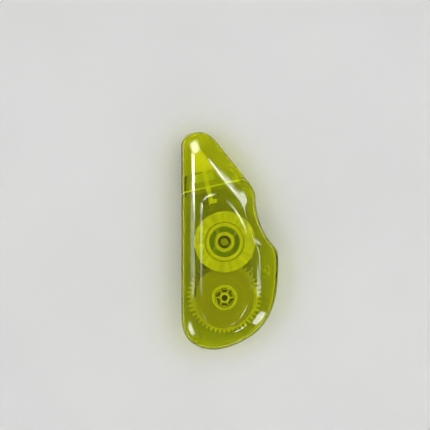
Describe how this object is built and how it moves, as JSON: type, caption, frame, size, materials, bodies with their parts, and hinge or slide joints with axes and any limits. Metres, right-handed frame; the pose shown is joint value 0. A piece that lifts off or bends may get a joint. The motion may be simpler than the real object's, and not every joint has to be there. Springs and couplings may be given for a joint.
{
  "type": "correction tape roller",
  "caption": "Clear correction tape roller with a teardrop case, finger notch, pull-off nose cap, geared tape reels and a slip clutch.",
  "frame": {"origin": "under the middle of the case, on the flat back cover that the roller lies on", "axes": "+Z from the back cover to the front cover, +Y from the round end to the nose, +X to the side with the finger notch"},
  "size_m": [0.0372, 0.0834, 0.0133],
  "materials": {
    "clear_case": "polished transparent yellow-green polystyrene",
    "clear_cap": "polished transparent yellow-green polystyrene",
    "white_plastic": "satin moulded white acetal",
    "correction_tape": "matt white coating on a glassine carrier, seen edge on",
    "used_carrier": "semi-matt glassine strip"
  },
  "bodies": {
    "case": {"back_shell": "clear_case", "front_shell": "clear_case", "applicator_head": "white_plastic", "tape_run": "correction_tape", "carrier_run": "used_carrier"},
    "cap": {"tip_cap": "clear_cap"},
    "drive": {"drive_gear": "white_plastic", "clutch_star": "white_plastic"},
    "supply": {"supply_core": "white_plastic", "supply_roll": "correction_tape"},
    "takeup": {"takeup_hub": "white_plastic", "takeup_flange": "white_plastic", "takeup_wrap": "used_carrier"}
  },
  "joints": [
    {"name": "cap_pull", "type": "slide", "parent": "case", "child": "cap", "axis": [0, 1, 0], "range_m": [0, 0.026]},
    {"name": "drive_spin", "type": "hinge", "parent": "case", "child": "drive", "pos_m": [-0.002, -0.02177, 0.0023], "axis": [0, 0, 1], "continuous": true},
    {"name": "supply_slip", "type": "hinge", "parent": "drive", "child": "supply", "pos_m": [-0.002, -0.02177, 0.0065], "axis": [0, 0, 1], "continuous": true},
    {"name": "takeup_spin", "type": "hinge", "parent": "case", "child": "takeup", "pos_m": [-0.002, -0.0004, 0.0023], "axis": [0, 0, 1], "continuous": true}
  ],
  "couplings": [
    {"joint": "takeup_spin", "follows": "drive_spin", "ratio": -1.7778}
  ]
}
